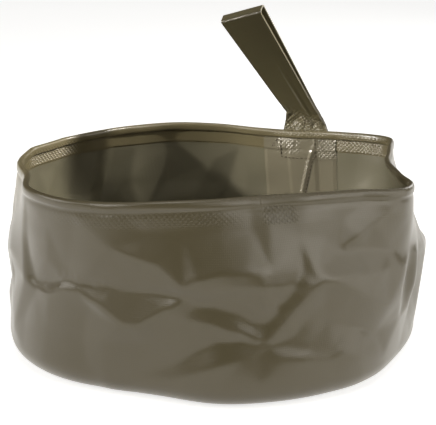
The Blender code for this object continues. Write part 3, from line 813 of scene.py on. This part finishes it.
def cover_depth(azimuths, below):
    """The cover lies on the hem's flap, steps down over its edge onto the tape, and bears a pressed pad."""
    height = WALL_HEIGHT - below
    on_flap = 2 * (FABRIC + GAP) + seam_ridge(azimuths, height) / 2
    on_tape = tape_depth(azimuths, height) + COVER_STEP
    past = ease((below - HEM_HEIGHT + 2 * FABRIC) / (2 * FABRIC))
    rise = PAD_RISE
    across = degrees_across(PAD_EDGE)
    for place, (low, high), edge in ((azimuths, PAD_AZIMUTHS, across), (below, PAD_BELOW, PAD_EDGE)):
        rise = rise * ease((place - low) / edge) * ease((high - place) / edge)
    return on_flap + (on_tape - on_flap) * past + rise


def make_cover(material):
    """The top of the tape, over the hem's flap. It moves with the rim."""
    azimuths = spaced(TAPE_AZIMUTH + HALF_TAPE, TAPE_AZIMUTH - HALF_TAPE, TAPE_STEP)[None, :]
    below = spaced(COVER_TOP, COVER_BOTTOM, TAPE_GRID)[:, None]
    middle = beside_rim(azimuths, -cover_depth(azimuths, below), below)
    raised = crumples(RIM_CRUMPLES, azimuths, below)
    return cloth("cover", middle, material, raised=raised, dots=dots_at(COVER_DOTS, azimuths, below))


def make_rim_cord(material):
    azimuths = spaced(SEAM_AZIMUTH, SEAM_AZIMUTH + 360, CORD_STEP_DEGREES)
    angles = spaced(0.0, 2 * math.pi, 2 * math.pi / CORD_SIDES)
    middle = CORD_RADIUS + GAP + FABRIC
    path = np.array([
        (CORD_RADIUS * math.cos(a) - CORD_SETBACK, middle - CORD_RADIUS * math.sin(a)) for a in angles
    ])
    layer = rim_layer(azimuths, path)
    return piece("cord", layer, grid_faces(len(angles), len(azimuths)), material)


def stitches(name, lines, material):
    """Rows of short raised stitches along lines of points."""
    turns = [2 * math.pi * k / STITCH_SIDES for k in range(STITCH_SIDES)]
    verts, faces = [], []
    for line in lines:
        along = lengths_along(line)
        count = int(along[-1] / (STITCH_LENGTH + STITCH_GAP))
        pitch = along[-1] / count
        for stitch in range(count):
            first = pitch * stitch + STITCH_GAP / 2
            places = [first + share * (pitch - STITCH_GAP) for share, _ in STITCH_RINGS]
            points = np.stack([np.interp(places, along, line[:, axis]) for axis in range(3)], axis=-1)
            way = Vector(points[-1] - points[0]).normalized()
            side = way.orthogonal().normalized()
            other = way.cross(side)
            start = len(verts)
            for point, (_, size) in zip(points, STITCH_RINGS):
                for turn in turns:
                    round_way = side * math.cos(turn) + other * math.sin(turn)
                    verts.append(Vector(point) + round_way * STITCH_RADIUS * size)
            for ring in range(len(STITCH_RINGS) - 1):
                for k in range(STITCH_SIDES):
                    a = start + ring * STITCH_SIDES + k
                    b = start + ring * STITCH_SIDES + (k + 1) % STITCH_SIDES
                    faces.append((a, b, b + STITCH_SIDES, a + STITCH_SIDES))
            faces.append(tuple(range(start, start + STITCH_SIDES))[::-1])
            faces.append(tuple(range(len(verts) - STITCH_SIDES, len(verts))))
    return piece(name, [tuple(v) for v in verts], faces, material)


def box_line(azimuths, out, top, bottom):
    """A closed box of points beside the hem."""
    low, high = azimuths
    across = spaced(low, high, TAPE_STEP)
    down = spaced(top, bottom, TAPE_GRID)
    sides = [
        beside_rim(across, out(across, top), top),
        beside_rim(high, out(high, down), down),
        beside_rim(across[::-1], out(across[::-1], bottom), bottom),
        beside_rim(low, out(low, down[::-1]), down[::-1]),
    ]
    return np.concatenate(sides)


# The strap


# How far the corded edge stands out from the wall, and the middle between the strap's two plies
HEM_BULGE = CORD_RADIUS + GAP + FABRIC - CORD_SETBACK
STRAP_OUT = HEM_BULGE + GAP + STRAP_PLY


def rim_edge(side):
    return Vector(beside_rim(SEAM_AZIMUTH - side * HALF_STRAP, STRAP_OUT, 0.0))


def strap_hinge():
    """The middle of the line that the strap folds about."""
    middle = (rim_edge(-1) + rim_edge(1)) / 2
    return Vector((middle.x, middle.y, middle.z + HINGE_RISE))


# From the strap's own plane, with x across it, y out of it and z up it, to the basin
LOOP_FRAME = Matrix.Translation(strap_hinge()) @ Matrix.Rotation(math.radians(LOOP_FOLD), 4, "X")


def crease_end(side):
    rise = NECK_TALL_SIDE if side < 0 else NECK_SHORT_SIDE
    return Vector((side * (STRAP_WIDTH / 2 - NECK_PINCH), 0, rise - HINGE_RISE))


def loop_top(side):
    lean = math.radians(LOOP_LEAN)
    along = Vector((-math.sin(lean), 0, math.cos(lean)))
    across = Vector((math.cos(lean), 0, math.sin(lean)))
    start = (crease_end(-1) + crease_end(1)) / 2
    return start + along * LOOP_LENGTH + across * side * STRAP_WIDTH / 2


def sewn_row(across, ply, below):
    """One row of the strap's end on the hem, from its left edge to its right one."""
    return beside_rim(SEAM_AZIMUTH - across * HALF_STRAP, STRAP_OUT + ply * STRAP_PLY / 2, below)


def strap_crumple(across, up):
    """The buckles round the neck, by how far up the strap a row lies from the rim."""
    places = [Vector((float(x), up, 0.0)) / STRAP_CRUMPLE_LENGTH for x in across * STRAP_WIDTH / 2]
    return np.array([1 - 2 * abs(noise.noise(place)) for place in places]) * STRAP_CRUMPLE


def neck_row(across, ply, share):
    """One row of the neck, which turns from the rim's plane into the strap's."""
    foot = sewn_row(across, 0, 0.0)
    left, right = (np.array(crease_end(side)) for side in (-1, 1))
    crease = moved(left + (right - left) * (across[:, None] + 1) / 2, LOOP_FRAME)
    turn = math.radians(LOOP_FOLD) * share
    out = np.array((0.0, math.cos(turn), math.sin(turn)))
    hollow = HOLLOW * np.exp(-(((across - HOLLOW_SHARE) / HOLLOW_WIDTH_SHARE) ** 2))
    strength = math.sin(math.pi * (BUCKLE_START + BUCKLE_SPAN * share))
    buckle = strap_crumple(across, share * NECK_TALL_SIDE) * strength
    offset = ply * STRAP_PLY / 2 + buckle + hollow * math.sin(math.pi * share)
    return foot * (1 - share) + crease * share + out * offset[:, None]


def leg_row(across, out, share, side=0):
    """One row of the loop, this far out of the strap's plane and up its length."""
    left, right = (
        np.array(crease_end(edge)) * (1 - share) + np.array(loop_top(edge)) * share for edge in (-1, 1)
    )
    ridge = LEG_RIDGE * np.exp(-(((across - LEG_RIDGE_SHARE) / LEG_RIDGE_WIDTH_SHARE) ** 2))
    ridge = ridge * ease((LEG_RIDGE_TOP_SHARE - share) / LEG_RIDGE_TOP_SHARE * LEG_RIDGE_FADE)
    ridge = ridge * ease(share * LEG_RIDGE_FOOT)
    roll = EDGE_ROLL * ease((abs(across) - 1 + EDGE_ROLL_SHARE) / EDGE_ROLL_SHARE)
    fade = float(ease(1 - share * BUCKLE_FADE)) * math.sin(math.pi * BUCKLE_END)
    buckle = strap_crumple(across, NECK_TALL_SIDE + share * LOOP_LENGTH) * fade
    offset = out + side * (ridge + roll) + buckle
    row = left + (right - left) * (across[:, None] + 1) / 2 + np.array((0.0, 1.0, 0.0)) * offset[:, None]
    return moved(row, LOOP_FRAME)


def leg_out(share):
    """How far a leg's middle stands off the strap's plane."""
    apart = max(0.0, (share - LOOP_JOIN / LOOP_LENGTH) / (1 - LOOP_JOIN / LOOP_LENGTH))
    return (STRAP_PLY + GAP) / 2 + LOOP_OPENING / 2 * apart


def make_strap(material):
    """One ribbon: up the outside, over the loop's top and down in front, its two ends sewn to the hem."""
    across = spaced(-1.0, 1.0, 2 * TAPE_GRID / STRAP_WIDTH)
    rows = [sewn_row(across, 1, below) for below in spaced(SEWN_DROP, 0.0, HEM_GRID)]
    rows += [neck_row(across, 1, share) for share in spaced(0.0, 1.0, NECK_ROW_SHARE)[1:]]
    bend = STRAP_BEND / LOOP_LENGTH
    legs = spaced(0.0, 1 - 2 * bend, HEM_GRID / LOOP_LENGTH)[1:]
    back = [leg_row(across, leg_out(share), share) for share in legs]
    front = [leg_row(across, -leg_out(share), share, -1) for share in legs[::-1]]
    reach = leg_out(1.0)
    turn = []
    for angle in spaced(0.0, math.pi / 2, BEND_STEP):
        turn.append((reach - STRAP_BEND * (1 - math.cos(angle)), 1 - bend / 2 - bend * (1 - math.sin(angle))))
    over = turn + [(-out, share) for out, share in turn[::-1]]
    rows += back + [leg_row(across, out, share) for out, share in over] + front
    neck_start = len(rows)
    rows += [neck_row(across, -1, share) for share in spaced(1.0, 0.0, NECK_ROW_SHARE)]
    rows += [sewn_row(across, -1, below) for below in spaced(0.0, SEWN_DROP, HEM_GRID)[1:]]
    places = np.arange(len(rows))[:, None] - neck_start
    dots = np.broadcast_to(ease((places + NECK_DOT_ROWS) / NECK_DOT_ROWS), (len(rows), len(across)))
    return cloth("strap", np.stack(rows), material, thickness=STRAP_PLY - GAP, dots=dots)


# Materials


def node(tree, kind, inputs=None, **settings):
    """One node with its settings, and its inputs as values or as other nodes' outputs."""
    made = tree.nodes.new(kind)
    for name, value in settings.items():
        setattr(made, name, value)
    for name, value in (inputs or {}).items():
        if isinstance(value, bpy.types.NodeSocket):
            tree.links.new(value, made.inputs[name])
        else:
            made.inputs[name].default_value = value
    return made


def combine(tree, operation, *values, **settings):
    """A maths node's result."""
    return node(tree, "ShaderNodeMath", dict(enumerate(values)), operation=operation, **settings).outputs[0]


def mixed(tree, factor, first, second):
    """A colour between two."""
    inputs = {"Factor": factor, 6: first, 7: second}
    return node(tree, "ShaderNodeMix", inputs, data_type="RGBA").outputs[2]


def speckle(tree, place, size, detail):
    """Noise of this size in metres."""
    inputs = {"Vector": place, "Scale": 1 / size, "Detail": detail}
    return node(tree, "ShaderNodeTexNoise", inputs).outputs["Fac"]


def bumped(tree, height, distance, **inputs):
    """The normal of a relief this high."""
    inputs = {"Height": height, "Strength": 1.0, "Distance": distance, **inputs}
    return node(tree, "ShaderNodeBump", inputs).outputs["Normal"]


def new_material(name, **values):
    """A material, its node tree and its shader with these values, whose names have underscores for spaces."""
    material = bpy.data.materials.new(name)
    material.use_nodes = True
    tree = material.node_tree
    shader = tree.nodes["Principled BSDF"]
    for key, value in values.items():
        shader.inputs[key.replace("_", " ")].default_value = value
    return material, tree, shader


def coated_fabric(name, dark, light, roughness, dotted=False):
    """Polyester weave coated with PVC. The eye sees a smooth satin skin with the weave just showing in it.

    Where it was welded with a heated roller, a net of fine dots stands in it.
    """
    sheen = linear_colour(SHEEN)
    material, tree, shader = new_material(
        name, IOR=PLASTIC_IOR, Specular_Tint=sheen, Coat_Weight=COAT_WEIGHT,
        Coat_Roughness=COAT_ROUGHNESS, Coat_Tint=sheen,
    )
    place = node(tree, "ShaderNodeTexCoord")
    solid, flat = place.outputs["Object"], place.outputs["UV"]
    clouds = speckle(tree, solid, CLOUD_SIZE, 3.0)
    colour = mixed(tree, clouds, linear_colour(dark), linear_colour(light))
    tree.links.new(colour, shader.inputs["Base Color"])
    grain = speckle(tree, solid, GRAIN_SIZE, 2.0)
    low, high = roughness - ROUGHNESS_SPREAD, roughness + ROUGHNESS_SPREAD
    rough = node(tree, "ShaderNodeMapRange", {"Value": grain, "To Min": low, "To Max": high})
    tree.links.new(rough.outputs["Result"], shader.inputs["Roughness"])
    weave = crossing_waves(tree, flat, WEAVE_PITCH, 0.0, WEAVE_UNEVEN)
    normal = bumped(tree, combine(tree, "MULTIPLY_ADD", weave, WEAVE_SHARE, grain), WEAVE_HEIGHT)
    if dotted:
        strength = node(tree, "ShaderNodeAttribute", attribute_name="dots").outputs["Fac"]
        lie = (tree, flat, DOT_PITCH, math.radians(DOT_TURN), DOT_UNEVEN)
        slant = crossing_waves(*lie, profile="SAW", join="SUBTRACT")
        relief = combine(tree, "MULTIPLY_ADD", slant, DOT_SLANT, crossing_waves(*lie))
        normal = bumped(tree, combine(tree, "MULTIPLY", relief, strength), DOT_HEIGHT, Normal=normal)
    tree.links.new(normal, shader.inputs["Normal"])
    return material


def crossing_waves(tree, flat, pitch, turn, uneven, profile="SIN", join="MULTIPLY"):
    """Two sets of even waves that cross, this far apart. Saw waves give a net of slanted diamonds."""
    turned = node(tree, "ShaderNodeMapping", {"Vector": flat, "Rotation": (0.0, 0.0, turn)})
    inputs = {
        "Vector": turned.outputs["Vector"], "Scale": math.pi / 10 / pitch, "Distortion": uneven,
        "Detail": 1.0, "Detail Scale": 2.0,
    }
    sets = [
        node(tree, "ShaderNodeTexWave", inputs, bands_direction=direction, wave_profile=profile)
        for direction in ("Y", "X")
    ]
    return combine(tree, join, *(one.outputs["Fac"] for one in sets))


def twisted_yarn(name, colour):
    """Spun polyester, as in a braided cord and in thread. The eye sees a matte surface with no gloss."""
    material, tree, shader = new_material(
        name, Base_Color=linear_colour(colour), Roughness=YARN_ROUGHNESS, IOR=PLASTIC_IOR
    )
    fibres = speckle(tree, node(tree, "ShaderNodeTexCoord").outputs["Object"], FIBRE_SIZE, 2.0)
    tree.links.new(bumped(tree, fibres, FIBRE_HEIGHT), shader.inputs["Normal"])
    return material


# The photograph's camera and light


def add_camera():
    lens = bpy.data.cameras.new("camera")
    lens.sensor_width = SENSOR
    lens.lens = FOCAL_PIXELS * SENSOR / PHOTO_PIXELS
    lens.clip_start, lens.clip_end = REACH
    camera = bpy.data.objects.new("camera", lens)
    bpy.context.scene.collection.objects.link(camera)
    place = Matrix.Translation(CAMERA_PLACE) @ Matrix.Rotation(math.pi / 2 - CAMERA_PITCH, 4, "X")
    camera.matrix_world = FRAME @ place
    bpy.context.scene.camera = camera


def add_lamp(name, kind, place, aim, power):
    """A lamp that faces its aim. Only its light is seen."""
    light = bpy.data.lights.new(name, kind)
    light.energy = power
    lamp = bpy.data.objects.new(name, light)
    lamp.visible_camera = False
    bpy.context.scene.collection.objects.link(lamp)
    way = Vector(place) - Vector(aim)
    turn = way.to_track_quat("Z", "Y").to_matrix().to_4x4()
    lamp.matrix_world = FRAME @ Matrix.Translation(place) @ turn
    return light


def add_softbox(name, place, size, power):
    light = add_lamp(name, "AREA", place, SOFTBOX_AIM, power)
    light.shape = "SQUARE"
    light.size = size


def add_spot(name, place, aim, cone, power):
    light = add_lamp(name, "SPOT", place, aim, power)
    light.spot_size = math.radians(cone)
    light.spot_blend = 1.0
    light.shadow_soft_size = SPOT_RADIUS


def stage_material(name, glow):
    """White paper. It looks white where it is seen, and keeps the basin's shadow."""
    material, tree, shader = new_material(
        name, Base_Color=linear_colour(PAPER), Roughness=1.0, Specular_IOR_Level=0.0, Emission_Color=WHITE
    )
    path = node(tree, "ShaderNodeLightPath").outputs
    seen = combine(tree, "ADD", path["Is Camera Ray"], path["Is Glossy Ray"])
    seen = combine(tree, "ADD", seen, path["Is Transmission Ray"], use_clamp=True)
    tree.links.new(combine(tree, "MULTIPLY", seen, glow), shader.inputs["Emission Strength"])
    return material


def add_stage():
    corners = [(-FLOOR, -FLOOR, 0), (FLOOR, -FLOOR, 0), (FLOOR, FLOOR, 0), (-FLOOR, FLOOR, 0)]
    floor = piece("floor", corners, [(0, 1, 2, 3)], stage_material("white floor", FLOOR_GLOW))


def light_world():
    """The dark room that the fabric reflects, lighter overhead, with one warm band low down all round."""
    world = bpy.data.worlds.new("studio")
    world.use_nodes = True
    bpy.context.scene.world = world
    tree = world.node_tree
    place = node(tree, "ShaderNodeTexCoord")
    way = node(tree, "ShaderNodeSeparateXYZ", {"Vector": place.outputs["Generated"]})
    room = node(tree, "ShaderNodeValToRGB", {"Fac": way.outputs["Z"]})
    ramp = room.color_ramp
    for element, (position, colour) in zip(ramp.elements, (ROOM_TONES[0], ROOM_TONES[-1])):
        element.position, element.color = position, colour
    for position, colour in ROOM_TONES[1:-1]:
        ramp.elements.new(position).color = colour
    seen = node(tree, "ShaderNodeLightPath").outputs["Is Camera Ray"]
    background = tree.nodes["Background"]
    colour = mixed(tree, seen, room.outputs["Color"], WHITE)
    tree.links.new(colour, background.inputs["Color"])
    background.inputs["Strength"].default_value = 1.0


COATED = coated_fabric("coated fabric, olive drab", "554E38", "5B543E", 0.33)
WELDED = coated_fabric("coated fabric, welded", "554E38", "5B543E", 0.30, dotted=True)
# The same fabric as outside. Its greyer, slightly lighter colour is a painted sheen for the grey gloss on the
# inner walls and the floor panel
INSIDE_PAINTED_SHEEN = coated_fabric("coated fabric, inner side, painted sheen", "53503F", "5A5648", 0.34)
# The tape and its cover are the same fabric as the wall. Their lighter, greyer colour is a painted sheen
SEAM_TAPE_PAINTED_SHEEN = coated_fabric("coated fabric, seam tape, painted sheen", "5C5748", "625D4D", 0.30, dotted=True)
STRAP = coated_fabric("coated fabric, strap", "4E4833", "565039", 0.30, dotted=True)
CORD = twisted_yarn("rim cord, polyester", "4A4638")
THREAD = twisted_yarn("sewing thread, dark brown", "453B29")

add_camera()
light_world()
add_stage()
for softbox in LAMPS:
    add_softbox(*softbox)
for spot in SPOTS:
    add_spot(*spot)

wall = make_wall(COATED, INSIDE_PAINTED_SHEEN)
tape = make_tape(SEAM_TAPE_PAINTED_SHEEN)
seam_stitches = stitches("seam_stitches", [seam_line(FABRIC / 2 + STITCH_RADIUS / 2)], THREAD)
for item, node_name, slot in (
    (wall, "wall_panel", "coated_fabric"),
    (tape, "seam_tape", "coated_fabric"),
    (seam_stitches, "seam_thread", "thread"),
):
    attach(item, "base")
    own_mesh(item)
    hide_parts(node_name)

floor_panel = make_floor_panel(INSIDE_PAINTED_SHEEN)
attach(floor_panel, "base")
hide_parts("base_panel")

half_box = degrees_across(STRAP_WIDTH - 2 * STITCH_MARGIN) / 2
slant_azimuths = spaced(*SLANT_AZIMUTHS, TAPE_STEP / 2)
slant_below = np.linspace(*SLANT_BELOW, len(slant_azimuths))
slant = beside_rim(slant_azimuths, -(cover_depth(slant_azimuths, slant_below) + FABRIC / 2), slant_below)
outside_box = box_line(
    (SEAM_AZIMUTH - half_box, SEAM_AZIMUTH + half_box),
    lambda azimuth, below: STRAP_OUT + STRAP_PLY + STITCH_RADIUS / 2,
    NECK_START + STITCH_MARGIN,
    SEWN_DROP - STITCH_MARGIN,
)
inside_box = box_line(
    (TAPE_AZIMUTH - half_box, TAPE_AZIMUTH + half_box),
    lambda azimuth, below: -(cover_depth(azimuth, below) + FABRIC / 2 + STITCH_RADIUS / 2),
    INSIDE_BOX_TOP,
    INSIDE_BOX_BOTTOM,
)
hem = make_hem(WELDED)
cover = make_cover(SEAM_TAPE_PAINTED_SHEEN)
for item, node_name, slot in (
    (hem, "rim_hem", "welded_fabric"),
    (make_rim_cord(CORD), "rim_cord", "cord"),
    (cover, "seam_cover", "welded_fabric"),
    (stitches("outside_stitches", [outside_box], THREAD), "strap_thread_outside", "thread"),
    (stitches("inside_stitches", [inside_box, slant], THREAD), "strap_thread_inside", "thread"),
):
    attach(item, "rim")
    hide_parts(node_name)

strap = make_strap(STRAP)
hinge = np.array(strap_hinge())
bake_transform(strap)
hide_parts("strap_sewn_end", "strap_neck", "strap_loop")

bpy.context.scene.view_settings.view_transform = "Standard"
